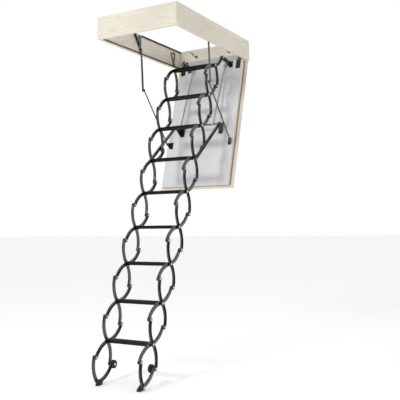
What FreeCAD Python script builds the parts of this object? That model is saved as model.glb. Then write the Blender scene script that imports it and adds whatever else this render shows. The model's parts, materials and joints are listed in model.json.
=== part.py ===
import FreeCAD, Part
import math
import os

# Attic ladder: a scissor ladder on an insulated hatch in a timber casing.
# Frame: X across the opening, Y along it towards the hinge end, Z up.
# The origin is the centre of the casing's lower opening, at ceiling level.
# The hatch is open and the ladder is drawn out. All sizes are in millimetres.

# Casing
CASING_LENGTH = 1200.0
CASING_WIDTH = 700.0
CASING_HEIGHT = 168.0
BOARD = 20.0
SCREW_RADIUS = 2.5
SCREW_HEAD_RADIUS = 5.0
SCREW_HEAD_HEIGHT = 2.0
SCREW_LENGTH = 60.0
SCREW_ROWS = 3
FIXING_RADIUS = 4.0
FIXING_SPACING = 700.0
FIXING_LEVEL = 84.0
SEAL_DEPTH = 6.0
SEAL_HEIGHT = 8.0
SEAL_LEVEL = 8.0
EDGE_STRIP_HEIGHT = 16.0
EDGE_STRIP_DEPTH = 4.0
LINING_STRIP_LOW = 20.0
LINING_STRIP_HIGH = 62.0
LINING_STRIP_DEPTH = 4.0

# Hatch, drawn closed and then turned open about its hinge
OPEN_ANGLE = 73.4
HINGE_SETBACK = 6.0
HINGE_LEVEL = 12.0
HATCH_DEPTH = 38.0
HATCH_SIDE_GAP = 18.0
HATCH_END_GAP = 20.0
HATCH_LATCH_GAP = 6.0
FRAME_RAIL = 40.0
LINING_THICK = 3.0
LIP_THICK = 5.0
LIP_MARGIN = 2.0
GASKET_WIDTH = 9.0
GASKET_HEIGHT = 5.0
HINGE_X = 275.0
HINGE_LEAF_WIDTH = 44.0
HINGE_LEAF_LENGTH = 80.0
HINGE_PLATE = 2.5
KNUCKLE_RADIUS = 5.0
HINGE_PIN_RADIUS = 3.0
KNUCKLE_GAP = 0.5

# Ladder: pitch along the slope, half width between the crossings and the pins
SLOPE = 65.5
PITCH = 293.0
HALF_WIDTH = 94.0
STAGES = 10
TOP_PIN_ALONG = 56.3
TOP_PIN_ABOVE = 139.3
STILE_X = 189.0
ARM_GAP = 4.0
ARM_DEPTH = 12.0
ARM_WIDTH = 26.0
ARM_WEB = 3.0
ARM_FLANGE = 2.5
ARM_BULGE = 22.0
BOSS_RADIUS = 15.0
PIN_RADIUS = 5.0
PIN_CLEARANCE = 0.3
PIN_HEAD_RADIUS = 7.0
PIN_HEAD_HEIGHT = 3.0
HEAD_GAP = 0.4
SPACER_RADIUS = 10.0
TREAD_HEIGHT = 24.0
TREAD_DEPTH = 62.0
TREAD_WALL = 2.5
TREAD_PLATE = 4.0
WHEEL_RADIUS = 30.0
WHEEL_WIDTH = 21.0
WHEEL_GAP = 0.6
FOOT_RADIUS = 22.0
FOOT_INSIDE = 16.0
FOOT_RIM = 7.0
FOOT_TOE = 30.0

# Brackets, struts and hatch arms
STRUT_ALONG = 649.0
STRUT_ABOVE = 90.0
STRUT_X = 215.0
STRUT_WIDTH = 24.0
STRUT_DEPTH = 12.0
STRUT_WALL = 2.5
SHAFT_RADIUS = 6.0
BRACE_X = 158.0
BRACE_RADIUS = 7.0
BRACE_TOP_ALONG = 60.0
BRACE_TOP_ABOVE = 20.0
FOOT_PIN_ALONG = 775.0
FOOT_PIN_ABOVE = 39.0
ARM_PIVOT_Y = -72.0
ARM_PIVOT_Z = 42.0
KNUCKLE_Y = -55.0
KNUCKLE_Z = -298.0
UPPER_ARM_X = 314.0
UPPER_ARM_THICK = 5.0
UPPER_ARM_WIDTH = 20.0
LOWER_ROD_X = 304.0
LOWER_ROD_RADIUS = 5.0
EYE_RADIUS = 12.0
EYE_THICK = 5.0
LINK_PIN_RADIUS = 4.0
BRACKET_PLATE = 4.0
HANGER_Y = 443.0
HANGER_SPAN = 66.0
HANGER_TOP = 128.0
HANGER_LOW = 29.0
HANGER_LEG = 14.0
BOLT_HEAD_RADIUS = 7.0
BOLT_HEAD_HEIGHT = 4.0
HOOK_X = 165.0
HOOK_LEVEL = 100.0
HOOK_REACH = 115.0
HOOK_RADIUS = 4.0

# Latch
LATCH_ALONG = 1120.0
LATCH_CASE_LENGTH = 70.0
LATCH_CASE_WIDTH = 60.0
LATCH_CASE_HEIGHT = 22.0
LATCH_WALL = 3.0
BOLT_WIDTH = 24.0
BOLT_HEIGHT = 8.0
BOLT_LENGTH = 78.0
BOLT_CLEARANCE = 0.5
BOLT_REACH = 18.0

# Values that follow from the sizes above
HALF_LENGTH = CASING_LENGTH / 2
HALF_CASING = CASING_WIDTH / 2
INNER_X = HALF_CASING - BOARD
INNER_Y = HALF_LENGTH - BOARD
HINGE = (INNER_Y - HINGE_SETBACK, HINGE_LEVEL)
HATCH_X = INNER_X - HATCH_SIDE_GAP
HATCH_FAR = INNER_Y - HATCH_END_GAP
HATCH_NEAR = -INNER_Y + HATCH_LATCH_GAP
OUTER_ARM_X = STILE_X + ARM_GAP / 2
INNER_ARM_X = STILE_X - ARM_GAP / 2 - ARM_DEPTH


def turned(point, centre, degrees):
    """Turn a side-view point (y, z) about a centre, from Y towards Z."""
    angle = math.radians(degrees)
    across = point[0] - centre[0]
    up = point[1] - centre[1]
    y = centre[0] + across * math.cos(angle) - up * math.sin(angle)
    z = centre[1] + across * math.sin(angle) + up * math.cos(angle)
    return (y, z)


def stepped(point, degrees, length):
    """Step a length from a side-view point in a direction."""
    angle = math.radians(degrees)
    return (point[0] + length * math.cos(angle), point[1] + length * math.sin(angle))


def on_closed_hatch(along, above):
    """Side-view point by its distance from the hinge and height over the lining."""
    return (HINGE[0] - along, HATCH_DEPTH + above)


def on_hatch(along, above):
    """The same point with the hatch open."""
    return turned(on_closed_hatch(along, above), HINGE, OPEN_ANGLE)


def block(x_low, x_high, y_low, y_high, z_low, z_high):
    """Box between two corners."""
    corner = FreeCAD.Vector(x_low, y_low, z_low)
    return Part.makeBox(x_high - x_low, y_high - y_low, z_high - z_low, corner)


def slab(outline, x_low, x_high):
    """Side-view outline given a thickness along X."""
    corners = [FreeCAD.Vector(x_low, y, z) for y, z in outline]
    face = Part.Face(Part.makePolygon(corners + corners[:1]))
    return face.extrude(FreeCAD.Vector(x_high - x_low, 0, 0))


def round_bar(centre, radius, x_low, x_high):
    """Round bar along X through a side-view point."""
    start = FreeCAD.Vector(x_low, centre[0], centre[1])
    return Part.makeCylinder(radius, x_high - x_low, start, FreeCAD.Vector(1, 0, 0))


def bar_between(start, end, radius, x):
    """Round bar in the plane x = constant between two side-view points."""
    begin = FreeCAD.Vector(x, start[0], start[1])
    run = FreeCAD.Vector(0, end[0] - start[0], end[1] - start[1])
    return Part.makeCylinder(radius, run.Length, begin, run)


def flat_link(start, end, width, x_low, x_high):
    """Flat link with round ends between two side-view points."""
    along = math.degrees(math.atan2(end[1] - start[1], end[0] - start[0]))
    corners = [
        stepped(start, along + 90, width / 2),
        stepped(start, along - 90, width / 2),
        stepped(end, along - 90, width / 2),
        stepped(end, along + 90, width / 2),
    ]
    link = slab(corners, x_low, x_high)
    for point in (start, end):
        link = link.fuse(round_bar(point, width / 2, x_low, x_high))
    return link.removeSplitter()


def mirrored(shape):
    """The same piece on the left."""
    return shape.mirror(FreeCAD.Vector(0, 0, 0), FreeCAD.Vector(1, 0, 0))


def both_sides(*shapes):
    """Each piece on the right, and again on the left."""
    return list(shapes) + [mirrored(shape) for shape in shapes]


def opened(shape):
    """Turn a piece of the closed hatch to its open place."""
    centre = FreeCAD.Vector(0, HINGE[0], HINGE[1])
    moved = shape.copy()
    moved.rotate(centre, FreeCAD.Vector(1, 0, 0), OPEN_ANGLE)
    return moved


def without(shape, tools):
    """Cut each tool out of a shape."""
    for tool in tools:
        shape = shape.cut(tool)
    return shape


def save(name, solids):
    """Write one node."""
    whole = solids[0] if len(solids) == 1 else Part.makeCompound(solids)
    whole.exportStep("parts/" + name + ".step")


# Ladder geometry in the side view


def ladder_pins():
    """Crossings, front pins and back pins of the ladder, from the top down."""
    half_arm = math.hypot(PITCH / 2, HALF_WIDTH)
    spread = math.degrees(math.atan2(HALF_WIDTH, PITCH / 2))
    inner_angle = 180 + SLOPE - spread
    outer_angle = 180 + SLOPE + spread
    back = [on_hatch(TOP_PIN_ALONG, TOP_PIN_ABOVE)]
    crossings = []
    front = []
    for stage in range(STAGES):
        crossing = stepped(back[stage], inner_angle, half_arm)
        crossings.append(crossing)
        front.append(stepped(crossing, inner_angle, half_arm))
        back.append(stepped(crossing, outer_angle, half_arm))
    return crossings, front, back, inner_angle, outer_angle


CROSSINGS, FRONT, BACK, INNER_ANGLE, OUTER_ANGLE = ladder_pins()
HALF_ARM = math.hypot(PITCH / 2, HALF_WIDTH)


def arc_band(start, end, side, width, x_low, x_high):
    """Band of one width along the arc between two side-view points."""
    span = math.dist(start, end)
    heading = math.degrees(math.atan2(end[1] - start[1], end[0] - start[0]))
    radius = (span * span / 4 + ARM_BULGE * ARM_BULGE) / (2 * ARM_BULGE)
    middle = stepped(start, heading, span / 2)
    centre = stepped(middle, heading - 90 * side, radius - ARM_BULGE)
    crown = heading + 90 * side
    swing = math.degrees(math.asin(span / 2 / radius))

    def edge(offset, low, high):
        """Arc concentric with the band's centre line."""
        points = []
        for turn in (low, (low + high) / 2, high):
            y, z = stepped(centre, crown + turn, radius + offset)
            points.append(FreeCAD.Vector(x_low, y, z))
        return Part.Arc(*points).toShape()

    outer = edge(width / 2, -swing, swing)
    inner = edge(-width / 2, swing, -swing)
    ends = [
        Part.makeLine(outer.Vertexes[-1].Point, inner.Vertexes[0].Point),
        Part.makeLine(inner.Vertexes[-1].Point, outer.Vertexes[0].Point),
    ]
    face = Part.Face(Part.Wire([outer, ends[0], inner, ends[1]]))
    return face.extrude(FreeCAD.Vector(x_high - x_low, 0, 0))


def scissor_arm(kind, halves, hole_radius):
    """Pressed channel arm along +Y, its crossing at the origin.

    kind is 1 for an inner arm and -1 for an outer arm, which is its mirror
    image. halves lists the half arms it has: -1 before the crossing, 1 after.
    """
    x_low = INNER_ARM_X if kind == 1 else OUTER_ARM_X
    x_high = x_low + ARM_DEPTH
    pocket_low = x_low if kind == 1 else x_low + ARM_WEB
    pocket_high = x_high - ARM_WEB if kind == 1 else x_high
    centre = (0.0, 0.0)
    pins = [centre] + [(half * HALF_ARM, 0.0) for half in halves]
    arm = None
    for half in halves:
        tip = (half * HALF_ARM, 0.0)
        start, end = (tip, centre) if half < 0 else (centre, tip)
        side = -half * kind
        band = arc_band(start, end, side, ARM_WIDTH, x_low, x_high)
        pocket_width = ARM_WIDTH - 2 * ARM_FLANGE
        band = band.cut(arc_band(start, end, side, pocket_width, pocket_low, pocket_high))
        arm = band if arm is None else arm.fuse(band)
    for pin in pins:
        arm = arm.fuse(round_bar(pin, BOSS_RADIUS, x_low, x_high))
    for pin in pins:
        arm = arm.cut(round_bar(pin, hole_radius, x_low - 1, x_high + 1))
    return arm.removeSplitter(), pins


def pin_solid(point, inner_head):
    """Riveted pin with its spacer, outer head and, where free, inner head."""
    outer_face = OUTER_ARM_X + ARM_DEPTH + HEAD_GAP
    pin = round_bar(point, PIN_RADIUS, INNER_ARM_X, outer_face)
    pin = pin.fuse(round_bar(point, PIN_HEAD_RADIUS, outer_face, outer_face + PIN_HEAD_HEIGHT))
    spacer_low = INNER_ARM_X + ARM_DEPTH
    pin = pin.fuse(round_bar(point, SPACER_RADIUS, spacer_low, OUTER_ARM_X - HEAD_GAP))
    if inner_head:
        head_low = INNER_ARM_X - PIN_HEAD_HEIGHT
        pin = pin.fuse(round_bar(point, PIN_HEAD_RADIUS, head_low, INNER_ARM_X))
    return pin.removeSplitter()


def put(shape, centre, degrees):
    """Turn a piece drawn along +Y and carry it to a side-view point."""
    moved = shape.copy()
    moved.rotate(FreeCAD.Vector(0, 0, 0), FreeCAD.Vector(1, 0, 0), degrees)
    moved.translate(FreeCAD.Vector(0, centre[0], centre[1]))
    return moved


def inner_group(halves):
    """Inner arm with its pins, as separate solids."""
    arm, pins = scissor_arm(1, halves, PIN_RADIUS)
    return [arm] + [pin_solid(pin, number > 0) for number, pin in enumerate(pins)]


def wheel_axle():
    """Stub axle of a wheel on the last back pin, with its cap."""
    axle = BACK[STAGES - 1]
    stub_high = INNER_ARM_X - PIN_HEAD_HEIGHT
    stub_low = stub_high - WHEEL_WIDTH - 2 * WHEEL_GAP
    stub = round_bar(axle, PIN_RADIUS, stub_low, stub_high)
    cap = round_bar(axle, PIN_HEAD_RADIUS + 2, stub_low - PIN_HEAD_HEIGHT, stub_low)
    return stub.fuse(cap).removeSplitter()


def make_ladder():
    """Arms of all stages, one node for each pair that moves as one."""
    full_inner = inner_group((-1, 1))
    upper_inner = inner_group((-1,))
    hole = PIN_RADIUS + PIN_CLEARANCE
    full_outer = scissor_arm(-1, (-1, 1), hole)[0]
    lower_outer = scissor_arm(-1, (1,), hole)[0]
    upper_outer = scissor_arm(-1, (-1,), hole)[0]
    for stage in range(STAGES):
        last = stage == STAGES - 1
        group = upper_inner if last else full_inner
        placed = [put(piece, CROSSINGS[stage], INNER_ANGLE) for piece in group]
        if last:
            placed.append(wheel_axle())
        save("inner_arms_%d" % (stage + 1), both_sides(*placed))
        outer = lower_outer if stage == 0 else upper_outer if last else full_outer
        placed = put(outer, CROSSINGS[stage], OUTER_ANGLE)
        save("outer_arms_%d" % (stage + 1), both_sides(placed))


def make_treads():
    """Ribbed box treads with end plates, level at each crossing."""
    inside = INNER_ARM_X - TREAD_PLATE
    for stage in range(STAGES - 1):
        y, z = CROSSINGS[stage]
        half = TREAD_DEPTH / 2
        low = z - TREAD_HEIGHT / 2
        high = z + TREAD_HEIGHT / 2
        beam = block(-inside, inside, y - half, y + half, low, high)
        hollow = block(
            -inside, inside, y - half + TREAD_WALL, y + half - TREAD_WALL,
            low - 1, high - TREAD_WALL,
        )
        beam = beam.cut(hollow)
        for offset in (-half / 3, half / 3):
            rib = block(
                -inside, inside, y + offset - TREAD_WALL / 2, y + offset + TREAD_WALL / 2,
                low, high - TREAD_WALL,
            )
            beam = beam.fuse(rib)
        outline = [
            (y - half, high), (y + half, high), (y + half, low), (y + half / 2, low),
            (y + half / 4, low - TREAD_HEIGHT / 4), (y - half / 4, low - TREAD_HEIGHT / 4),
            (y - half / 2, low), (y - half, low),
        ]
        plate = slab(outline, inside, INNER_ARM_X)
        save("tread_%d" % (stage + 1), [beam.removeSplitter()] + both_sides(plate))


def rubber_foot():
    """Rubber shoe pushed over the lower end of the last inner arm."""
    point = CROSSINGS[STAGES - 1]
    x_low = INNER_ARM_X - FOOT_INSIDE
    x_high = INNER_ARM_X + ARM_DEPTH
    foot = round_bar(point, FOOT_RADIUS, x_low, x_high)
    toe = [
        (point[0] - FOOT_TOE, point[1] - FOOT_RADIUS),
        (point[0] + FOOT_RADIUS * 0.6, point[1] - FOOT_RADIUS),
        (point[0] + FOOT_RADIUS * 0.6, point[1]),
        (point[0] - FOOT_TOE, point[1] - FOOT_RADIUS * 0.5),
    ]
    foot = foot.fuse(slab(toe, x_low, x_high))
    across = INNER_ANGLE - 90
    rim = stepped(point, across, FOOT_RIM)
    ends = [stepped(rim, INNER_ANGLE, side * 3 * FOOT_RADIUS) for side in (-1, 1)]
    ends += [stepped(end, across, 3 * FOOT_RADIUS) for end in reversed(ends)]
    foot = foot.cut(slab(ends, x_low - 1, x_high + 1))
    reach = stepped(point, INNER_ANGLE, -HALF_ARM)
    solid_arm = arc_band(reach, point, 1, ARM_WIDTH, INNER_ARM_X, x_high)
    solid_arm = solid_arm.fuse(round_bar(point, BOSS_RADIUS, INNER_ARM_X, x_high))
    return foot.cut(solid_arm).removeSplitter()


def make_wheels_and_feet():
    """Rollers on the last back pins and rubber feet on the last crossing."""
    axle = BACK[STAGES - 1]
    head = INNER_ARM_X - PIN_HEAD_HEIGHT - WHEEL_GAP
    wheel = round_bar(axle, WHEEL_RADIUS, head - WHEEL_WIDTH, head)
    rim = WHEEL_RADIUS * 0.72
    for x_low in (head - WHEEL_WIDTH, head - 4.0):
        wheel = wheel.cut(round_bar(axle, rim, x_low, x_low + 4.0))
        wheel = wheel.fuse(round_bar(axle, BOSS_RADIUS * 0.8, x_low, x_low + 4.0))
    wheel = wheel.cut(round_bar(axle, PIN_RADIUS + 0.05, head - WHEEL_WIDTH - 1, head + 1))
    save("wheel_right", [wheel.removeSplitter()])
    save("wheel_left", [mirrored(wheel.removeSplitter())])
    save("rubber_feet", both_sides(rubber_foot()))


# Casing


def screw_places():
    """Height of each corner screw."""
    step = CASING_HEIGHT / SCREW_ROWS
    return [step * (row + 0.5) for row in range(SCREW_ROWS)]


def screw_between(start, direction, head_out):
    """Wood screw with a flat head; it starts at the face it is driven into."""
    run = FreeCAD.Vector(*direction)
    screw = Part.makeCylinder(SCREW_RADIUS, SCREW_LENGTH, start, run)
    head = Part.makeCylinder(SCREW_HEAD_RADIUS, head_out, start - run * head_out, run)
    return screw.fuse(head).removeSplitter()


def corner_screws():
    """Screws through the long boards into the ends of the short boards."""
    screws = []
    for y in (-HALF_LENGTH + BOARD / 2, HALF_LENGTH - BOARD / 2):
        for z in screw_places():
            start = FreeCAD.Vector(HALF_CASING, y, z)
            screws.append(screw_between(start, (-1, 0, 0), SCREW_HEAD_HEIGHT))
    return both_sides(*screws)


def bracket_bolts():
    """Bolts of the hangers and of the hatch-arm brackets, through the long boards."""
    places = [(HANGER_Y - HANGER_SPAN / 2, HANGER_TOP), (HANGER_Y + HANGER_SPAN / 2, HANGER_TOP)]
    places += arm_bracket_bolts()
    bolts = []
    for y, z in places:
        inner = INNER_X - BRACKET_PLATE - BOLT_HEAD_HEIGHT
        bolt = round_bar((y, z), SCREW_RADIUS * 1.6, inner, HALF_CASING + BOLT_HEAD_HEIGHT / 2)
        bolt = bolt.fuse(round_bar((y, z), BOLT_HEAD_RADIUS, inner, inner + BOLT_HEAD_HEIGHT))
        outside = HALF_CASING + BOLT_HEAD_HEIGHT / 2
        bolt = bolt.fuse(round_bar((y, z), BOLT_HEAD_RADIUS * 0.7, HALF_CASING, outside))
        bolts.append(bolt.removeSplitter())
    return both_sides(*bolts)


def arm_bracket_bolts():
    """Places of the two bolts of a hatch-arm bracket."""
    top = CASING_HEIGHT - BOARD / 2
    return [(ARM_PIVOT_Y - 42.0, top - 8.0), (ARM_PIVOT_Y - 42.0, top - 58.0)]


def make_casing():
    """Four boards, their screws and the strips on them."""
    fixings = corner_screws() + bracket_bolts()
    side = block(INNER_X, HALF_CASING, -HALF_LENGTH, HALF_LENGTH, 0, CASING_HEIGHT)
    for y in (-FIXING_SPACING / 2, FIXING_SPACING / 2):
        side = side.cut(round_bar((y, FIXING_LEVEL), FIXING_RADIUS, INNER_X - 1, HALF_CASING + 1))
    save("casing_board_right", [without(side, fixings)])
    save("casing_board_left", [without(mirrored(side), fixings)])
    far = block(-INNER_X, INNER_X, INNER_Y, HALF_LENGTH, 0, CASING_HEIGHT)
    near = block(-INNER_X, INNER_X, -HALF_LENGTH, -INNER_Y, 0, CASING_HEIGHT)
    save("casing_board_hinge_end", [without(far, fixings)])
    save("casing_board_latch_end", [without(near, fixings)])
    save("casing_screws", fixings)

    seal_high = SEAL_LEVEL + SEAL_HEIGHT
    seal = block(INNER_X - SEAL_DEPTH, INNER_X, -INNER_Y, INNER_Y, SEAL_LEVEL, seal_high)
    seal_x = INNER_X - SEAL_DEPTH
    end = block(-seal_x, seal_x, -INNER_Y, -INNER_Y + SEAL_DEPTH / 2, SEAL_LEVEL, seal_high)
    strip_low = CASING_HEIGHT - EDGE_STRIP_HEIGHT
    strip = block(
        INNER_X - EDGE_STRIP_DEPTH, INNER_X, ARM_PIVOT_Y + 24.0, INNER_Y,
        strip_low, CASING_HEIGHT,
    )
    save("casing_seals", both_sides(seal, strip) + [end])

    lining = block(
        -INNER_X + SEAL_DEPTH, INNER_X - SEAL_DEPTH, INNER_Y - LINING_STRIP_DEPTH, INNER_Y,
        LINING_STRIP_LOW, LINING_STRIP_HIGH,
    )
    save("end_lining", [lining])


def make_hangers():
    """V-shaped brackets on the long boards near the hinge end."""
    inside = INNER_X - BRACKET_PLATE
    left = (HANGER_Y - HANGER_SPAN / 2, HANGER_TOP)
    right = (HANGER_Y + HANGER_SPAN / 2, HANGER_TOP)
    eye = (HANGER_Y + HANGER_SPAN / 10, HANGER_LOW)
    hanger = flat_link(left, right, HANGER_LEG * 1.2, inside, INNER_X)
    for top in (left, right):
        hanger = hanger.fuse(flat_link(top, eye, HANGER_LEG, inside, INNER_X))
    hanger = hanger.fuse(round_bar(eye, HANGER_LEG * 0.8, inside - 2.0, INNER_X))
    hanger = without(hanger.removeSplitter(), bracket_bolts())
    save("hanger_brackets", both_sides(hanger))


def make_arm_brackets():
    """Triangular brackets that carry the hatch arms, with a folded flange."""
    inside = INNER_X - BRACKET_PLATE
    upper, lower = arm_bracket_bolts()
    pivot = (ARM_PIVOT_Y, ARM_PIVOT_Z)
    top = upper[1] + 10.0
    corner = (upper[0] - 50.0, top)
    outline = [corner, (upper[0] + 60.0, top), (ARM_PIVOT_Y + 14.0, ARM_PIVOT_Z + 10.0)]
    outline += [(ARM_PIVOT_Y, ARM_PIVOT_Z - 14.0), (ARM_PIVOT_Y - 12.0, ARM_PIVOT_Z)]
    plate = slab(outline, inside, INNER_X)
    foot = (ARM_PIVOT_Y - 18.0, ARM_PIVOT_Z + 34.0)
    flange = flat_link((corner[0] + 10.0, corner[1] - 6.0), foot, 10.0, inside - 16.0, INNER_X)
    bracket = plate.fuse(flange)
    pin = round_bar(pivot, LINK_PIN_RADIUS, UPPER_ARM_X - PIN_HEAD_HEIGHT, inside)
    pin = pin.fuse(round_bar(pivot, EYE_RADIUS, UPPER_ARM_X + UPPER_ARM_THICK + 0.5, inside))
    bracket = bracket.fuse(pin).removeSplitter()
    bracket = without(bracket, bracket_bolts())
    save("arm_brackets", both_sides(bracket))


def make_hooks_and_strike():
    """Rest hooks on the hinge-end board and the latch plate on the other."""
    face = INNER_Y
    route = [
        (face, HOOK_LEVEL), (face - HOOK_REACH * 0.4, HOOK_LEVEL),
        (face - HOOK_REACH * 0.65, HOOK_LEVEL + 14.0), (face - HOOK_REACH, HOOK_LEVEL + 14.0),
    ]
    hook = Part.makeCylinder(
        HOOK_RADIUS * 3, 3.0, FreeCAD.Vector(HOOK_X, face - 3.0, HOOK_LEVEL),
        FreeCAD.Vector(0, 1, 0),
    )
    for start, end in zip(route, route[1:]):
        hook = hook.fuse(bar_between(start, end, HOOK_RADIUS, HOOK_X))
        ball = Part.makeSphere(HOOK_RADIUS, FreeCAD.Vector(HOOK_X, end[0], end[1]))
        hook = hook.fuse(ball)
    hooks = both_sides(hook.removeSplitter())
    save("rest_hooks", hooks)
    low = HATCH_DEPTH + 2.0
    plate = block(-26, 26, -INNER_Y, -INNER_Y + 3.0, low, low + 46.0)
    keep = block(-18, 18, -INNER_Y + 3.0, -INNER_Y + 14.0, low, low + 4.0)
    save("latch_strike", [plate.fuse(keep).removeSplitter()])


def knuckles(centre, x_places):
    """Hinge knuckle pieces between pairs of X places."""
    barrel = None
    for x_low, x_high in x_places:
        piece = round_bar(centre, KNUCKLE_RADIUS, x_low, x_high)
        barrel = piece if barrel is None else barrel.fuse(piece)
    return barrel


def make_hinges():
    """Butt hinges between the hinge-end board and the hatch."""
    low = HINGE_X - HINGE_LEAF_WIDTH / 2
    high = HINGE_X + HINGE_LEAF_WIDTH / 2
    third = HINGE_LEAF_WIDTH / 3
    middle = (low + third, high - third)
    outer = ((low, middle[0] - KNUCKLE_GAP), (middle[1] + KNUCKLE_GAP, high))
    back = INNER_Y - LINING_STRIP_DEPTH
    leaf = block(low, high, back - HINGE_PLATE, back, LINING_STRIP_LOW, LINING_STRIP_HIGH)
    for x_low, x_high in outer:
        web = block(x_low, x_high, back - HINGE_PLATE, back, HINGE[1], LINING_STRIP_LOW)
        leaf = leaf.fuse(web)
    leaf = leaf.fuse(knuckles(HINGE, outer))
    hole = round_bar(HINGE, HINGE_PIN_RADIUS, low - 1, high + 1)
    pin = round_bar(HINGE, HINGE_PIN_RADIUS, low, high)
    save("hinge_fixed_leaves", both_sides(leaf.cut(hole).removeSplitter(), pin))

    lining = HATCH_DEPTH
    start = HATCH_FAR - HINGE_LEAF_LENGTH
    outline = [
        (start, lining), (HATCH_FAR + 2.0, lining), (HINGE[0] - 4.0, HINGE[1] + 1.0),
        (HINGE[0] - 1.0, HINGE[1] + 3.0), (HATCH_FAR + 4.0, lining + HINGE_PLATE),
        (start, lining + HINGE_PLATE),
    ]
    flap = slab(outline, *middle)
    wide = block(low, high, start, HATCH_FAR, lining, lining + HINGE_PLATE)
    flap = flap.fuse(wide).fuse(knuckles(HINGE, (middle,)))
    hole = round_bar(HINGE, HINGE_PIN_RADIUS + 0.05, low - 1, high + 1)
    flap = flap.cut(hole).removeSplitter()
    save("hinge_moving_leaves", both_sides(opened(flap)))


# Hatch


def make_hatch():
    """Rebated frame, insulation core, inner lining, outer lip and gasket."""
    core_x = HATCH_X - FRAME_RAIL
    top = HATCH_DEPTH - LINING_THICK
    frame = block(-HATCH_X, HATCH_X, HATCH_NEAR, HATCH_FAR, 0, top)
    window = block(-core_x, core_x, HATCH_NEAR + FRAME_RAIL, HATCH_FAR - FRAME_RAIL, 0, top)
    save("hatch_frame", [opened(frame.cut(window))])
    save("hatch_core", [opened(window)])
    lining = block(-HATCH_X, HATCH_X, HATCH_NEAR, HATCH_FAR, top, HATCH_DEPTH)
    save("hatch_lining", [opened(lining)])
    lip_x = HALF_CASING - LIP_MARGIN
    lip = block(-lip_x, lip_x, -HALF_LENGTH + LIP_MARGIN, HATCH_FAR, -LIP_THICK, 0)
    save("hatch_lip", [opened(lip)])
    gasket_x = HATCH_X + GASKET_WIDTH
    gasket = block(-gasket_x, gasket_x, HATCH_NEAR - LIP_MARGIN, HATCH_FAR, 0, GASKET_HEIGHT)
    gasket = gasket.cut(frame)
    save("hatch_gasket", [opened(gasket)])


def ladder_bracket():
    """Cheek outside the top inner arm, with a foot on the lining."""
    x_low = OUTER_ARM_X
    x_high = x_low + BRACKET_PLATE + 2.0
    y, z = on_closed_hatch(TOP_PIN_ALONG, TOP_PIN_ABOVE)
    base = HATCH_DEPTH + BRACKET_PLATE
    outline = [
        (y - 16.0, z), (y - 12.0, z + 12.0), (y + 2.0, z + 17.0), (y + 14.0, z + 10.0),
        (HATCH_FAR - 8.0, base), (HATCH_FAR - 58.0, base),
    ]
    cheek = slab(outline, x_low, x_high)
    foot = block(
        x_low, x_high + 26.0, HATCH_FAR - 62.0, HATCH_FAR - 4.0, HATCH_DEPTH, base,
    )
    hole = round_bar((y, z), PIN_RADIUS + PIN_CLEARANCE, x_low - 1, x_high + 1)
    return opened(cheek.fuse(foot).cut(hole).removeSplitter())


def strut_bracket():
    """Upright on the lining that carries the cross shaft and a strut."""
    y, z = on_closed_hatch(STRUT_ALONG, STRUT_ABOVE)
    x_high = STRUT_X - STRUT_DEPTH / 2 - 3.0
    x_low = x_high - BRACKET_PLATE
    base = HATCH_DEPTH + BRACKET_PLATE
    outline = [
        (y - 46.0, base), (y - 12.0, z + 10.0), (y + 12.0, z + 10.0), (y + 46.0, base),
    ]
    cheek = slab(outline, x_low, x_high)
    foot = block(x_low - 34.0, x_high, y - 50.0, y + 50.0, HATCH_DEPTH, base)
    bracket = cheek.fuse(foot)
    hole = round_bar((y, z), SHAFT_RADIUS, x_low - 1, x_high + 1)
    return opened(bracket.cut(hole).removeSplitter())


def make_hatch_fittings():
    """Brackets, cross shaft, brace tubes and the feet of the hatch arms."""
    save("ladder_brackets", both_sides(ladder_bracket()))
    save("strut_brackets", both_sides(strut_bracket()))
    shaft_at = on_hatch(STRUT_ALONG, STRUT_ABOVE)
    reach = STRUT_X + STRUT_DEPTH / 2 + 2.0
    collar = STRUT_X - STRUT_DEPTH / 2 - 3.0
    shaft = round_bar(shaft_at, SHAFT_RADIUS, -reach, reach)
    washer = round_bar(shaft_at, SHAFT_RADIUS + 5.0, collar, collar + 2.0)
    cap = round_bar(shaft_at, SHAFT_RADIUS + 3.0, reach, reach + PIN_HEAD_HEIGHT)
    for piece in both_sides(washer, cap):
        shaft = shaft.fuse(piece)
    save("cross_shaft", [shaft.removeSplitter()])

    top = on_hatch(BRACE_TOP_ALONG, BRACE_TOP_ABOVE)
    saddle = block(
        BRACE_X - 14.0, BRACE_X + 14.0, HINGE[0] - BRACE_TOP_ALONG - 16.0,
        HINGE[0] - BRACE_TOP_ALONG + 16.0, HATCH_DEPTH, HATCH_DEPTH + BRACE_TOP_ABOVE + 4.0,
    )
    tube = bar_between(top, shaft_at, BRACE_RADIUS, BRACE_X)
    shaft_hole = round_bar(shaft_at, SHAFT_RADIUS, BRACE_X - 20.0, BRACE_X + 20.0)
    sleeve = round_bar(shaft_at, SHAFT_RADIUS + 5.0, BRACE_X - 12.0, BRACE_X + 12.0)
    brace = opened(saddle).fuse(tube).fuse(sleeve).cut(shaft_hole).removeSplitter()
    save("brace_tubes", both_sides(brace))

    y, z = on_closed_hatch(FOOT_PIN_ALONG, FOOT_PIN_ABOVE)
    x_high = LOWER_ROD_X - LOWER_ROD_RADIUS - 0.5
    x_low = x_high - BRACKET_PLATE
    base = HATCH_DEPTH + BRACKET_PLATE
    cheek = slab([(y - 26, base), (y - 12, z + 10), (y + 12, z + 10), (y + 26, base)], x_low, x_high)
    foot = block(x_low - 26.0, x_high, y - 30.0, y + 30.0, HATCH_DEPTH, base)
    pin_high = LOWER_ROD_X + LOWER_ROD_RADIUS + 0.5
    pin = round_bar((y, z), LINK_PIN_RADIUS, x_low, pin_high)
    head = round_bar((y, z), LINK_PIN_RADIUS + 3.0, pin_high, pin_high + 2.0)
    save("arm_feet", both_sides(opened(cheek.fuse(foot).fuse(pin).fuse(head).removeSplitter())))


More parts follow.
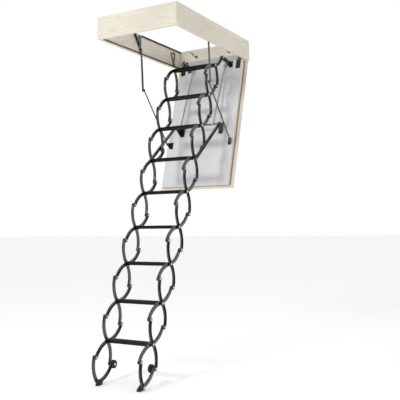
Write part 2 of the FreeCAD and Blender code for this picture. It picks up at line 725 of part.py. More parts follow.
def make_latch():
    """Latch case on the lining and the sliding bolt in it."""
    front = HINGE[0] - LATCH_ALONG
    low = HATCH_DEPTH
    case = block(
        -LATCH_CASE_WIDTH / 2, LATCH_CASE_WIDTH / 2, front, front + LATCH_CASE_LENGTH,
        low, low + LATCH_CASE_HEIGHT,
    )
    room = BOLT_CLEARANCE
    bolt_low = low + (LATCH_CASE_HEIGHT - BOLT_HEIGHT) / 2
    channel = block(
        -BOLT_WIDTH / 2 - room, BOLT_WIDTH / 2 + room, front - 1, front + LATCH_CASE_LENGTH + 1,
        bolt_low - room, bolt_low + BOLT_HEIGHT + room,
    )
    save("latch_case", [opened(case.cut(channel))])
    bolt = block(
        -BOLT_WIDTH / 2, BOLT_WIDTH / 2, front - BOLT_REACH, front - BOLT_REACH + BOLT_LENGTH,
        bolt_low, bolt_low + BOLT_HEIGHT,
    )
    save("latch_bolt", [opened(bolt)])


def make_struts():
    """Channel struts from the cross shaft to the fourth crossing."""
    start = on_hatch(STRUT_ALONG, STRUT_ABOVE)
    end = CROSSINGS[3]
    x_low = STRUT_X - STRUT_DEPTH / 2
    x_high = STRUT_X + STRUT_DEPTH / 2
    heading = math.degrees(math.atan2(end[1] - start[1], end[0] - start[0]))
    outer_start = stepped(start, heading, 0.0)
    outer_end = stepped(end, heading, 20.0)
    strut = flat_link(outer_start, outer_end, STRUT_WIDTH, x_low, x_high)
    pocket_start = stepped(start, heading, 26.0)
    inner_width = STRUT_WIDTH - 2 * STRUT_WALL
    pocket = flat_link(pocket_start, end, inner_width, x_low + STRUT_WALL, x_high + 1)
    strut = strut.cut(pocket)
    strut = strut.cut(round_bar(start, SHAFT_RADIUS + 0.3, x_low - 1, x_high + 1))
    pin = round_bar(end, PIN_RADIUS, x_low + STRUT_WALL, x_high + 2.0)
    strut = strut.fuse(pin).removeSplitter()
    save("struts", both_sides(strut))


def make_hatch_arms():
    """Upper flat arm and lower rod of each hatch arm."""
    pivot = (ARM_PIVOT_Y, ARM_PIVOT_Z)
    knuckle = (KNUCKLE_Y, KNUCKLE_Z)
    x_high = UPPER_ARM_X + UPPER_ARM_THICK
    upper = flat_link(pivot, knuckle, UPPER_ARM_WIDTH, UPPER_ARM_X, x_high)
    upper = upper.cut(round_bar(pivot, LINK_PIN_RADIUS + 0.3, UPPER_ARM_X - 1, x_high + 1))
    rivet = round_bar(knuckle, LINK_PIN_RADIUS + 3.0, x_high, x_high + 2.0)
    upper = upper.fuse(rivet).removeSplitter()
    save("upper_arms", both_sides(upper))

    foot = on_hatch(FOOT_PIN_ALONG, FOOT_PIN_ABOVE)
    rod = bar_between(knuckle, foot, LOWER_ROD_RADIUS, LOWER_ROD_X)
    for point in (knuckle, foot):
        half = EYE_THICK / 2
        rod = rod.fuse(round_bar(point, EYE_RADIUS, LOWER_ROD_X - half, LOWER_ROD_X + half))
    hole = round_bar(foot, LINK_PIN_RADIUS + 0.3, LOWER_ROD_X - 10, LOWER_ROD_X + 10)
    save("lower_rods", both_sides(rod.cut(hole).removeSplitter()))


def main():
    """Write every node."""
    os.makedirs("parts", exist_ok=True)
    make_casing()
    make_hangers()
    make_arm_brackets()
    make_hooks_and_strike()
    make_hinges()
    make_hatch()
    make_hatch_fittings()
    make_latch()
    make_struts()
    make_hatch_arms()
    make_ladder()
    make_treads()
    make_wheels_and_feet()


main()
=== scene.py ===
import json
import logging
import math
from dataclasses import dataclass, field
from enum import Enum

import bmesh
import bpy
import numpy as np
from mathutils import Matrix, Vector


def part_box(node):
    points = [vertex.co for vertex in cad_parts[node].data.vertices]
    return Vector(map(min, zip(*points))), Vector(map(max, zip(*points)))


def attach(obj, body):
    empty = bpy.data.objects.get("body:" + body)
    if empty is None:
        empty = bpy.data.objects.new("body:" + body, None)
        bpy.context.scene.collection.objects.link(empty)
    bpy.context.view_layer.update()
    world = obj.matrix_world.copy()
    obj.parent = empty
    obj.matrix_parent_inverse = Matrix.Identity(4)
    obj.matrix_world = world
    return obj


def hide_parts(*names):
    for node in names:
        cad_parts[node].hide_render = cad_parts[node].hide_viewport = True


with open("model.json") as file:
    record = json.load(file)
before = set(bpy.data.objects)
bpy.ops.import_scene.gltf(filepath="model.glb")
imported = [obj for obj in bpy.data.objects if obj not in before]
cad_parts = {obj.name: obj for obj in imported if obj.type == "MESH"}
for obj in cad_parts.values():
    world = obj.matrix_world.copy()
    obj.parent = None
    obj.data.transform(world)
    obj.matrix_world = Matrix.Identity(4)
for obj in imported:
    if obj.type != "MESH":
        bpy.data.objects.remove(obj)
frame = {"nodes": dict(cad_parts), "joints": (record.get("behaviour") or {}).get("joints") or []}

LOG = logging.getLogger("attic_ladder")
LADDER_STAGES = 10


# Choices


class Grain(Enum):
    """Direction in which a board's grain runs; an axis across it has a 1."""

    ALONG_X = (0.0, 1.0, 1.0)
    ALONG_Y = (1.0, 0.0, 1.0)


class Side(Enum):
    """Side of the ladder; the value is the sign of X."""

    RIGHT = 1
    LEFT = -1


class Arm(Enum):
    """Kind of arm; the value is the sign of the way from its web to its open side."""

    INNER = -1
    OUTER = 1


class Ends(Enum):
    """What closes the first and last rows of a surface."""

    CAPPED = "one face each"
    JOINED = "joined to each other"


# Shader maths


class Wire:
    """A node socket that answers to arithmetic.

    Each operator adds one Math node to the same tree and returns its output.
    """

    def __init__(self, sheet: "Sheet", socket: bpy.types.NodeSocket) -> None:
        """Keep the tree and the socket.

        Args:
            sheet: Material sheet that owns the tree.
            socket: Output socket to work on.
        """
        self.sheet = sheet
        self.socket = socket

    def _math(self, operation: str, first: object, second: object) -> "Wire":
        """Add a Math node for two values or wires."""
        return self.sheet.node("ShaderNodeMath", {"operation": operation}, {0: first, 1: second})

    def __add__(self, other: object) -> "Wire":
        """Sum."""
        return self._math("ADD", self, other)

    def __radd__(self, other: object) -> "Wire":
        """Sum with the value first."""
        return self._math("ADD", other, self)

    def __sub__(self, other: object) -> "Wire":
        """Difference."""
        return self._math("SUBTRACT", self, other)

    def __rsub__(self, other: object) -> "Wire":
        """Difference with the value first."""
        return self._math("SUBTRACT", other, self)

    def __mul__(self, other: object) -> "Wire":
        """Product."""
        return self._math("MULTIPLY", self, other)

    def __rmul__(self, other: object) -> "Wire":
        """Product with the value first."""
        return self._math("MULTIPLY", other, self)

    def __pow__(self, other: object) -> "Wire":
        """Power."""
        return self._math("POWER", self, other)

    def ramp(self, low: float, high: float) -> "Wire":
        """Smooth step from 0 at low to 1 at high.

        Args:
            low: Value that gives 0.
            high: Value that gives 1.

        Returns:
            The stepped value.
        """
        settings = {"interpolation_type": "SMOOTHSTEP", "clamp": True}
        return self.sheet.node("ShaderNodeMapRange", settings, {0: self, 1: low, 2: high})


class Sheet:
    """One material under construction."""

    def __init__(self, name: str) -> None:
        """Start a material with a Principled shader.

        Args:
            name: Material name.
        """
        self.material = bpy.data.materials.new(name)
        self.material.use_nodes = True
        self.tree = self.material.node_tree
        self.tree.nodes.clear()
        output = self.tree.nodes.new("ShaderNodeOutputMaterial")
        self.shader = self.tree.nodes.new("ShaderNodeBsdfPrincipled")
        self.tree.links.new(self.shader.outputs[0], output.inputs[0])

    def _feed(self, target: bpy.types.NodeSocket, value: object) -> None:
        """Link a wire to a socket, or set the socket's value.

        Args:
            target: Input socket.
            value: Wire, number, or colour of three or four parts.
        """
        if isinstance(value, Wire):
            self.tree.links.new(value.socket, target)
        elif isinstance(value, tuple) and len(value) == 3 and target.type == "RGBA":
            target.default_value = (*value, 1.0)
        else:
            target.default_value = value

    def node(self, kind: str, settings: dict, inputs: dict, output: object = 0) -> Wire:
        """Add any node.

        Args:
            kind: Node type.
            settings: Node settings, set before its inputs.
            inputs: Socket name or number to value or wire.
            output: Name or number of the output to return.

        Returns:
            The chosen output.
        """
        made = self.tree.nodes.new(kind)
        for key, value in settings.items():
            setattr(made, key, value)
        for key, value in inputs.items():
            self._feed(made.inputs[key], value)
        return Wire(self, made.outputs[output])

    def place(self, scale: tuple) -> Wire:
        """Object coordinates stretched along each axis.

        Args:
            scale: Factor along X, Y and Z.

        Returns:
            The stretched coordinates.
        """
        here = self.node("ShaderNodeTexCoord", {}, {}, "Object")
        return self.node("ShaderNodeMapping", {}, {"Vector": here, "Scale": scale})

    def noise(self, scale: float, detail: float = 3.0, stretch: tuple = (1.0, 1.0, 1.0)) -> Wire:
        """Noise from 0 to 1 on Object coordinates.

        Args:
            scale: Noise frequency per metre.
            detail: Octaves.
            stretch: Factor along each axis.

        Returns:
            The noise value.
        """
        inputs = {"Vector": self.place(stretch), "Scale": scale, "Detail": detail}
        return self.node("ShaderNodeTexNoise", {}, inputs, "Fac")

    def cells(self, scale: float, stretch: tuple = (1.0, 1.0, 1.0)) -> Wire:
        """Distance from the nearest of many scattered points, on Object coordinates.

        Args:
            scale: Points per metre.
            stretch: Factor along each axis.

        Returns:
            The distance, 0 at a point.
        """
        inputs = {"Vector": self.place(stretch), "Scale": scale}
        return self.node("ShaderNodeTexVoronoi", {}, inputs, "Distance")

    def blend(self, factor: Wire, low: object, high: object) -> Wire:
        """Mix two colours by a factor.

        Args:
            factor: Share of the second colour.
            low: First colour.
            high: Second colour.

        Returns:
            The mixed colour.
        """
        settings = {"data_type": "RGBA"}
        return self.node("ShaderNodeMix", settings, {0: factor, 6: low, 7: high}, 2)

    def finish(self, colour: object, roughness: object, metallic: float = 0.0,
               height: object = None, strength: float = 0.2, depth: float = 0.0005,
               extras: dict | None = None) -> bpy.types.Material:
        """Connect the shader and return the material.

        Args:
            colour: Base colour.
            roughness: Roughness.
            metallic: Metallic share.
            height: Height wire for the bump, or None.
            strength: Bump strength.
            depth: Bump distance in metres.
            extras: Other shader sockets and their plain values.

        Returns:
            The finished material.
        """
        self._feed(self.shader.inputs["Base Color"], colour)
        self._feed(self.shader.inputs["Roughness"], roughness)
        self._feed(self.shader.inputs["Metallic"], metallic)
        for key, value in (extras or {}).items():
            self._feed(self.shader.inputs[key], value)
        if height is not None:
            inputs = {"Height": height, "Strength": strength, "Distance": depth}
            self._feed(self.shader.inputs["Normal"], self.node("ShaderNodeBump", {}, inputs))
        return self.material


# Finishes


@dataclass(frozen=True)
class PineFinish:
    """Planed softwood with fine grain, wide growth bands and a few knots."""

    name: str
    grain: Grain
    pale: tuple = (0.79, 0.745, 0.64)
    warm: tuple = (0.60, 0.53, 0.41)
    dark: tuple = (0.33, 0.26, 0.18)
    along: float = 0.06
    wander_scale: float = 5.0
    band_scale: float = 24.0
    fibre_scale: float = 420.0
    patch_scale: float = 3.2
    knot_scale: float = 4.2
    bands: float = 9.0
    waviness: float = 5.0

    def material(self) -> bpy.types.Material:
        """Bands are the sine of a noise drawn out along the grain; fibres are a finer noise on top.

        Returns:
            The material.
        """
        sheet = Sheet(self.name)
        stretch = tuple(1.0 if across else self.along for across in self.grain.value)
        wander = sheet.noise(self.wander_scale, 2.0, stretch)
        growth = sheet.noise(self.band_scale, 2.0, stretch)
        phase = (growth * self.bands + wander * self.waviness) * math.tau
        wave = sheet.node("ShaderNodeMath", {"operation": "SINE"}, {0: phase}) * 0.5 + 0.5
        fibres = sheet.noise(self.fibre_scale, 3.0, stretch)
        patches = sheet.noise(self.patch_scale, 2.0, tuple(0.5 + 0.5 * part for part in stretch))
        places = sheet.cells(self.knot_scale, tuple(0.55 + 0.45 * part for part in stretch))
        knots = 1 - places.ramp(0.02, 0.055)
        tone = (wave ** 3.0) * 0.34 + patches.ramp(0.35, 0.75) * 0.34
        base = sheet.blend(tone, self.pale, self.warm)
        streaked = sheet.blend(fibres.ramp(0.52, 0.80) * 0.22, base, self.dark)
        colour = sheet.blend(knots * 0.75, streaked, self.dark)
        return sheet.finish(colour, fibres * 0.18 + 0.50, height=fibres + wave * 0.3,
                            strength=0.25, depth=0.0006)


@dataclass(frozen=True)
class PowderCoat:
    """Black powder coat with orange peel, worn a little greyer by handling."""

    name: str
    colour: tuple = (0.0025, 0.0025, 0.003)
    worn: tuple = (0.007, 0.007, 0.008)
    roughness: float = 0.30
    shine: float = 0.7

    def material(self) -> bpy.types.Material:
        """Fine peel gives the bump; broad noise mixes in the worn tone.

        Returns:
            The material.
        """
        sheet = Sheet(self.name)
        peel = sheet.noise(900.0, 2.0)
        handling = sheet.noise(22.0, 4.0)
        colour = sheet.blend(handling.ramp(0.45, 0.8) * 0.8, self.colour, self.worn)
        rough = peel * 0.10 + handling * 0.12 + (self.roughness - 0.1)
        extras = {"Specular IOR Level": self.shine, "Coat Weight": self.shine * 0.5,
                  "Coat Roughness": 0.2, "Coat IOR": 1.8}
        return sheet.finish(colour, rough, height=peel, strength=0.18, depth=0.0003, extras=extras)


@dataclass(frozen=True)
class ZincPlate:
    """Bright zinc with faint spangle and turning marks."""

    name: str
    bright: tuple = (0.86, 0.87, 0.88)
    dull: tuple = (0.58, 0.59, 0.61)

    def material(self) -> bpy.types.Material:
        """Spangle is cell noise; smears are stretched noise.

        Returns:
            The material.
        """
        sheet = Sheet(self.name)
        cells = sheet.cells(260.0)
        smears = sheet.noise(60.0, 4.0, (0.3, 1.0, 1.0))
        colour = sheet.blend(cells * 0.5 + smears * 0.4, self.bright, self.dull)
        return sheet.finish(colour, smears * 0.25 + 0.18, 0.95, smears, 0.1, 0.0002)


@dataclass(frozen=True)
class PaintedSheet:
    """Smooth painted sheet or tube with a faint mottle."""

    name: str
    colour: tuple
    shade: tuple
    roughness: float = 0.42
    metallic: float = 0.0

    def material(self) -> bpy.types.Material:
        """Broad noise moves the tone; fine noise gives a slight texture.

        Returns:
            The material.
        """
        sheet = Sheet(self.name)
        broad = sheet.noise(3.5, 3.0)
        fine = sheet.noise(300.0, 2.0)
        colour = sheet.blend(broad.ramp(0.35, 0.75), self.colour, self.shade)
        rough = broad * 0.1 + fine * 0.08 + (self.roughness - 0.08)
        return sheet.finish(colour, rough, self.metallic, fine, 0.08, 0.0003)


@dataclass(frozen=True)
class RubberFinish:
    """Matt black rubber, a little dusty."""

    name: str
    colour: tuple = (0.014, 0.014, 0.015)
    dust: tuple = (0.085, 0.082, 0.078)

    def material(self) -> bpy.types.Material:
        """Dust gathers by noise; a fine grain gives the bump.

        Returns:
            The material.
        """
        sheet = Sheet(self.name)
        grain = sheet.noise(1200.0, 2.0)
        dirt = sheet.noise(45.0, 5.0)
        colour = sheet.blend(dirt.ramp(0.5, 0.85) * 0.5, self.colour, self.dust)
        return sheet.finish(colour, dirt * 0.2 + 0.6, height=grain, strength=0.3, depth=0.0003)


@dataclass(frozen=True)
class FoamFinish:
    """Rigid insulation foam with a beady surface."""

    name: str
    colour: tuple = (0.88, 0.87, 0.83)
    shade: tuple = (0.70, 0.68, 0.62)

    def material(self) -> bpy.types.Material:
        """Beads are cell noise.

        Returns:
            The material.
        """
        sheet = Sheet(self.name)
        beads = sheet.cells(220.0)
        return sheet.finish(sheet.blend(beads, self.colour, self.shade), 0.85, height=beads)


@dataclass(frozen=True)
class SharedFinishes:
    """Materials that several sub-assemblies use, each made once."""

    coat: bpy.types.Material
    tread_coat: bpy.types.Material
    zinc: bpy.types.Material
    rubber: bpy.types.Material

    @classmethod
    def make(cls) -> "SharedFinishes":
        """Make the materials.

        Returns:
            The shared materials.
        """
        tread_coat = PowderCoat("tread_coat", (0.003, 0.003, 0.0035), (0.009, 0.009, 0.010), 0.42, 0.25)
        return cls(
            coat=PowderCoat("black_coat").material(),
            tread_coat=tread_coat.material(),
            zinc=ZincPlate("bright_zinc").material(),
            rubber=RubberFinish("black_rubber").material(),
        )


# Surfaces


@dataclass
class Shell:
    """Mesh data gathered from closed surfaces before it becomes one piece."""

    points: list = field(default_factory=list)
    faces: list = field(default_factory=list)
    count: int = 0

    def grid(self, grid: np.ndarray, ends: Ends = Ends.CAPPED) -> None:
        """Add a surface given as rows of points, each row a closed ring.

        Row i and row i + 1 are joined by quads.

        Args:
            grid: Array of rows, points in a row, and 3 coordinates.
            ends: What closes the first and last rows.
        """
        rows, columns, _ = grid.shape
        numbers = np.arange(rows * columns).reshape(rows, columns) + self.count
        if ends is Ends.JOINED:
            numbers = np.concatenate([numbers, numbers[:1]])
        right = np.roll(numbers, -1, axis=1)
        quads = np.stack([numbers[:-1], numbers[1:], right[1:], right[:-1]], axis=-1)
        self.points.append(grid.reshape(-1, 3))
        self.faces.extend(quads.reshape(-1, 4).tolist())
        if ends is Ends.CAPPED:
            self.faces.append(numbers[0].tolist())
            self.faces.append(numbers[-1, ::-1].tolist())
        self.count += rows * columns

    def build(self, name: str, body: str, material: bpy.types.Material,
              smooth: float = 35.0) -> bpy.types.Object:
        """Make the piece, smooth under an edge angle, and let it ride on a body.

        Args:
            name: Object name.
            body: CAD body it moves with.
            material: Its finish.
            smooth: Edge angle in degrees under which shading is smooth.

        Returns:
            The piece.
        """
        mesh = bpy.data.meshes.new(name)
        mesh.from_pydata(np.concatenate(self.points).tolist(), [], self.faces)
        mesh.validate()
        mesh.materials.append(material)
        mesh.polygons.foreach_set("use_smooth", np.ones(len(mesh.polygons), dtype=bool))
        mesh.set_sharp_from_angle(angle=math.radians(smooth))
        piece = bpy.data.objects.new(name, mesh)
        bpy.context.scene.collection.objects.link(piece)
        fix_normals(mesh)
        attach(piece, body)
        return piece


def fix_normals(mesh: bpy.types.Mesh) -> None:
    """Turn each closed surface of a mesh so that its faces point outwards.

    Args:
        mesh: Mesh to change.
    """
    work = bmesh.new()
    work.from_mesh(mesh)
    bmesh.ops.recalc_face_normals(work, faces=work.faces)
    work.to_mesh(mesh)
    work.free()


def rounded(outline: np.ndarray, radius: float, steps: int = 4) -> np.ndarray:
    """Round the corners of a closed outline.

    Each corner is replaced by the quadratic curve whose ends lie on its two
    sides, at the radius or at 0.45 of the side, whichever is less.

    Args:
        outline: Corner points, one row each.
        radius: How far from the corner the curve starts.
        steps: Points on each curve.

    Returns:
        The rounded outline.
    """
    before = np.roll(outline, 1, axis=0) - outline
    after = np.roll(outline, -1, axis=0) - outline
    length_before = np.linalg.norm(before, axis=1, keepdims=True)
    length_after = np.linalg.norm(after, axis=1, keepdims=True)
    start = outline + before / length_before * np.minimum(radius, 0.45 * length_before)
    end = outline + after / length_after * np.minimum(radius, 0.45 * length_after)
    t = np.linspace(0.0, 1.0, steps).reshape(1, -1, 1)
    curve = (1 - t) ** 2 * start[:, None] + 2 * t * (1 - t) * outline[:, None] + t ** 2 * end[:, None]
    return curve.reshape(-1, outline.shape[1])


def inset(outline: np.ndarray, amount: float) -> np.ndarray:
    """Move each point of a closed outline inwards.

    A point moves across the line that joins its two neighbours; the sign of the
    outline's area tells which way is in.

    Args:
        outline: Points in order, one row each.
        amount: Distance inwards.

    Returns:
        The moved outline.
    """
    side = np.roll(outline, -1, axis=0) - np.roll(outline, 1, axis=0)
    side /= np.maximum(np.linalg.norm(side, axis=1, keepdims=True), 1e-9)
    normal = np.stack([-side[:, 1], side[:, 0]], axis=1)
    nxt = np.roll(outline, -1, axis=0)
    area = np.sum(outline[:, 0] * nxt[:, 1] - nxt[:, 0] * outline[:, 1])
    return outline + normal * amount * np.sign(area)


def plate(shell: Shell, outline: np.ndarray, low: float, high: float, edge: float) -> None:
    """Add a plate across X from its side outline, with rounded edges.

    The rows are the outline at six places along X. At each end it is inset by the
    edge radius, then by 0.3 of it, then not at all, which shades as a round.

    Args:
        shell: Shell to add to.
        outline: Side outline as (y, z) rows.
        low: Lowest X.
        high: Highest X.
        edge: Edge radius.
    """
    rows = []
    for x, amount in ((low, edge), (low + edge * 0.3, edge * 0.3), (low + edge, 0.0),
                      (high - edge, 0.0), (high - edge * 0.3, edge * 0.3), (high, edge)):
        ring = inset(outline, amount)
        rows.append(np.column_stack([np.full(len(ring), x), ring]))
    shell.grid(np.array(rows))


def turned_part(shell: Shell, centre: tuple, profile: list, sides: int = 40,
                ends: Ends = Ends.CAPPED) -> None:
    """Add a lathe-turned part about an axis along X.

    A point at turn t is the profile's radius times (cos t, sin t) about the
    centre, at the profile's place along X.

    Args:
        shell: Shell to add to.
        centre: Axis place as (y, z).
        profile: (x, radius) pairs from one end to the other.
        sides: Points round the axis.
        ends: Whether the profile's ends are capped, or joined as on a ring.
    """
    turn = np.linspace(0.0, 2 * math.pi, sides, endpoint=False)
    line = np.array(profile)
    x = np.repeat(line[:, :1], sides, axis=1)
    y = centre[0] + line[:, 1:] * np.cos(turn)
    z = centre[1] + line[:, 1:] * np.sin(turn)
    shell.grid(np.stack([x, y, z], axis=-1), ends)


def swept(shell: Shell, path: np.ndarray, across: np.ndarray, profile: np.ndarray, x: float) -> None:
    """Add a profile carried along a path in a plane of constant X.

    A profile point (a, b) goes to the path point plus a times the in-plane
    normal, and b along X from the plane's place.

    Args:
        shell: Shell to add to.
        path: Path points as (y, z) rows.
        across: Unit in-plane normals of the path, one per point.
        profile: Closed profile as (across, along X) rows.
        x: Place of the profile's zero along X.
    """
    plane = path[:, None] + across[:, None] * profile[None, :, :1]
    along = np.broadcast_to(x + profile[None, :, 1:], (len(path), len(profile), 1))
    shell.grid(np.concatenate([along, plane], axis=-1))


# The ladder


@dataclass
class LadderPoints:
    """Places of the ladder's pins in the side view, read from the joints."""

    crossings: list
    front: list
    back: list

    @classmethod
    def from_joints(cls, joints: list) -> "LadderPoints":
        """Work out every pin from the joints' places.

        The front pin is as far past the crossing as the back pin is before it, so
        it is twice the crossing less the back pin. The four pins of a loop are a
        parallelogram, which gives the next back pin.

        Args:
            joints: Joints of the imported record.

        Returns:
            The pins.
        """
        places = {joint["name"]: np.array(joint["pos_m"][1:]) for joint in joints if "pos_m" in joint}
        crossings = []
        for stage in range(1, LADDER_STAGES + 1):
            kind = "link" if stage % 2 else "step"
            crossings.append(places["%s_%d_crossing" % (kind, stage)])
        back = [places["ladder_fold"]]
        front = []
        for stage in range(LADDER_STAGES - 1):
            front.append(2 * crossings[stage] - back[stage])
            back.append(crossings[stage] + crossings[stage + 1] - front[stage])
        return cls(crossings, front, back)


@dataclass
class ScissorLadder:
    """Curved channel arms, pins, treads, rollers and feet. Sizes are in metres."""

    points: LadderPoints
    finishes: SharedFinishes
    stile_x: float = 0.189
    arm_width: float = 0.026
    arm_depth: float = 0.012
    arm_gap: float = 0.004
    arm_wall: float = 0.0026
    arm_bulge: float = 0.022
    arm_steps: int = 22
    boss_radius: float = 0.015
    boss_dish: float = 0.0022
    pin_radius: float = 0.005
    pin_tip: float = 0.0003
    head_radius: float = 0.0068
    inner_head: float = 0.0030
    outer_head: float = 0.0034
    spacer_radius: float = 0.0098
    tread_height: float = 0.024
    tread_depth: float = 0.062
    tread_wall: float = 0.0026
    tread_lip: float = 0.010
    tread_ribs: int = 11
    rib_rise: float = 0.0009
    groove_depth: float = 0.0013
    end_plate: float = 0.004
    end_plate_drop: float = 0.006
    roller_sides: int = 64
    bore_slack: float = 0.0002
    cap_radius: float = 0.009
    foot_reach: float = 0.028
    foot_inset: float = 0.0004
    sole_points: int = 22
    sole_tooth: float = 0.0016

    @property
    def arm_inside(self) -> float:
        """X of the inner arms' open side."""
        return self.stile_x - self.arm_gap / 2 - self.arm_depth

    def arm_profile(self, open_side: int) -> np.ndarray:
        """Section of the pressed channel, its web on the side away from open_side.

        Args:
            open_side: 1 when the channel opens towards larger X, -1 otherwise.

        Returns:
            Closed profile as (across, along X) rows.
        """
        half = self.arm_width / 2
        wall = self.arm_wall
        depth = self.arm_depth
        corners = np.array([
            (-half, 0.0), (half, 0.0), (half, depth), (half - wall, depth),
            (half - wall, wall), (-half + wall, wall), (-half + wall, depth), (-half, depth),
        ])
        return rounded(corners, wall * 0.9, 3) * (1.0, open_side)

    def arm_path(self, start: np.ndarray, end: np.ndarray, side: float) -> tuple:
        """Circular arc between two pins, bulging to one side.

        With half chord h and rise s the radius is (h squared + s squared) / 2s;
        points are spaced evenly by angle about its centre.

        Args:
            start: First pin.
            end: Second pin.
            side: 1 to bulge to the left of the way from start to end, -1 to the right.

        Returns:
            Path points and their in-plane normals.
        """
        chord = end - start
        half = np.linalg.norm(chord) / 2
        ahead = chord / (2 * half)
        left = np.array([-ahead[1], ahead[0]]) * side
        radius = (half ** 2 + self.arm_bulge ** 2) / (2 * self.arm_bulge)
        centre = (start + end) / 2 - left * (radius - self.arm_bulge)
        swing = math.asin(half / radius)
        turn = np.linspace(-swing, swing, self.arm_steps)[:, None]
        out = left * np.cos(turn) + ahead * np.sin(turn)
        return centre + radius * out, out

    def arms(self, kind: Arm, stage: int, legs: list) -> None:
        """Both arms of one kind at one stage, left and right.

        Args:
            kind: Inner or outer.
            stage: Stage number from 1.
            legs: (start, end, side) of each half arm.
        """
        shell = Shell()
        label = kind.name.lower()
        body = "step_%d" if kind is Arm.INNER else "link_%d"
        web_face = self.stile_x + kind.value * self.arm_gap / 2
        pins = sorted({tuple(np.round(pin, 6)) for leg in legs for pin in leg[:2]})
        for side in Side:
            profile = self.arm_profile(kind.value * side.value)
            for start, end, bulge_side in legs:
                path, out = self.arm_path(start, end, bulge_side)
                swept(shell, path, out, profile, side.value * web_face)
            for pin in pins:
                self.boss(shell, pin, side.value * web_face, side.value * kind.value)
        piece = shell.build("%s_pair_%d" % (label, stage), body % stage, self.finishes.coat)
        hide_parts("%s_arms_%d" % (label, stage))

    def boss(self, shell: Shell, pin: tuple, web_face: float, outwards: int) -> None:
        """Dished boss round a pin: a flat pad with a raised, rounded rim.

        Args:
            shell: Shell to add to.
            pin: Pin place.
            web_face: X of the face against the other arm.
            outwards: Sign of X away from the other arm.
        """
        r = self.boss_radius
        d = self.arm_depth
        floor = d - self.boss_dish
        line = [(0.0, 0.0005), (0.0, r - 0.0015), (0.0006, r - 0.0004), (0.0018, r),
                (d - 0.0016, r), (d - 0.0004, r - 0.0006), (d, r - 0.0018),
                (d - 0.0003, r - 0.0032), (floor, r - 0.0040), (floor, 0.0005)]
        turned_part(shell, pin, [(web_face + outwards * x, radius) for x, radius in line])

    def rivet_line(self, side: Side) -> list:
        """Profile of a riveted pin: domed heads, shank, spacer and washer.

        Args:
            side: Side of the ladder.

        Returns:
            (x, radius) pairs.
        """
        h = self.head_radius
        s = self.pin_radius
        low = self.stile_x - self.arm_gap / 2
        high = self.stile_x + self.arm_gap / 2
        start = self.arm_inside - self.inner_head
        end = high + self.arm_depth + self.outer_head
        line = [
            (start, self.pin_tip), (start + 0.0002, h * 0.45), (start + 0.0010, h * 0.85),
            (start + 0.0022, h), (start + 0.0030, h * 0.98), (start + 0.0031, s),
            (low + 0.0001, s), (low + 0.0002, self.spacer_radius),
            (high - 0.0005, self.spacer_radius), (high - 0.0004, s),
            (end - 0.0041, s), (end - 0.0040, h * 1.25), (end - 0.0030, h * 1.25),
            (end - 0.0029, h), (end - 0.0018, h * 0.98), (end - 0.0008, h * 0.82),
            (end - 0.0002, h * 0.42), (end, self.pin_tip),
        ]
        return [(side.value * x, radius) for x, radius in line]

    def rivets(self, stage: int, pins: list) -> None:
        """Riveted pins of one stage, as one piece.

        Args:
            stage: Stage number from 1.
            pins: Pin places.
        """
        shell = Shell()
        for side in Side:
            for pin in pins:
                turned_part(shell, tuple(pin), self.rivet_line(side), 28)
        piece = shell.build("rivets_%d" % stage, "step_%d" % stage, self.finishes.zinc)

    def tread_profile(self) -> np.ndarray:
        """Tread section: ribbed top, grooved front and back faces, open foot.

        The top's height is the full height less a shallow cosine of the depth;
        the two upright faces step in at three grooves.

        Returns:
            Closed (y, z) outline about the tread's centre.
        """
        half = self.tread_depth / 2
        high = self.tread_height / 2
        wall = self.tread_wall
        lip = half - self.tread_lip
        ceiling = high - wall - 0.002
        y = np.linspace(-half + 0.003, half - 0.003, self.tread_ribs * 6)
        phase = (y + half) / self.tread_depth * self.tread_ribs * 2 * math.pi
        top = np.column_stack([y, high - self.rib_rise + self.rib_rise * np.cos(phase)])
        depth = self.groove_depth
        grooves = []
        for z in (high * 0.45, high * -0.05, high * -0.5):
            grooves += [(0.0, z + 0.0016), (depth, z + 0.0008), (depth, z - 0.0008), (0.0, z - 0.0016)]
        grooves = np.array(grooves)
        front_side = np.column_stack([half - grooves[:, 0], grooves[:, 1]])
        back_side = np.column_stack([-half + grooves[::-1, 0], grooves[::-1, 1]])
        foot = np.array([
            (half, -high), (lip, -high), (lip, -high + wall), (half - wall, -high + wall),
            (half - wall, ceiling), (-half + wall, ceiling),
            (-half + wall, -high + wall), (-lip, -high + wall), (-lip, -high), (-half, -high),
        ])
        shoulder_front = np.array([(half - 0.0008, high - 0.0008), (half, high - 0.003)])
        shoulder_back = np.array([(-half, high - 0.003), (-half + 0.0008, high - 0.0008)])
        return np.concatenate([top, shoulder_front, front_side, foot, back_side, shoulder_back])

    def tread(self, stage: int) -> None:
        """One tread with its end plates.

        Args:
            stage: Stage number from 1.
        """
        centre = self.points.crossings[stage - 1]
        beam = self.arm_inside - self.end_plate
        shell = Shell()
        section = self.tread_profile() + centre
        rows = [np.column_stack([np.full(len(section), x), section]) for x in (-beam, 0.0, beam)]
        shell.grid(np.array(rows))
        half = self.tread_depth / 2
        high = self.tread_height / 2
        drop = high + self.end_plate_drop
        outline = np.array([
            (half, high), (half, -high), (half / 2, -high), (half / 4, -drop),
            (-half / 4, -drop), (-half / 2, -high), (-half, -high), (-half, high),
        ])
        outline = rounded(outline, 0.004) + centre
        for side in Side:
            low, top = sorted((side.value * beam, side.value * self.arm_inside))
            plate(shell, outline, low, top, 0.0008)
        piece = shell.build("step_%d" % stage, "step_%d" % stage, self.finishes.tread_coat)
        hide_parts("tread_%d" % stage)

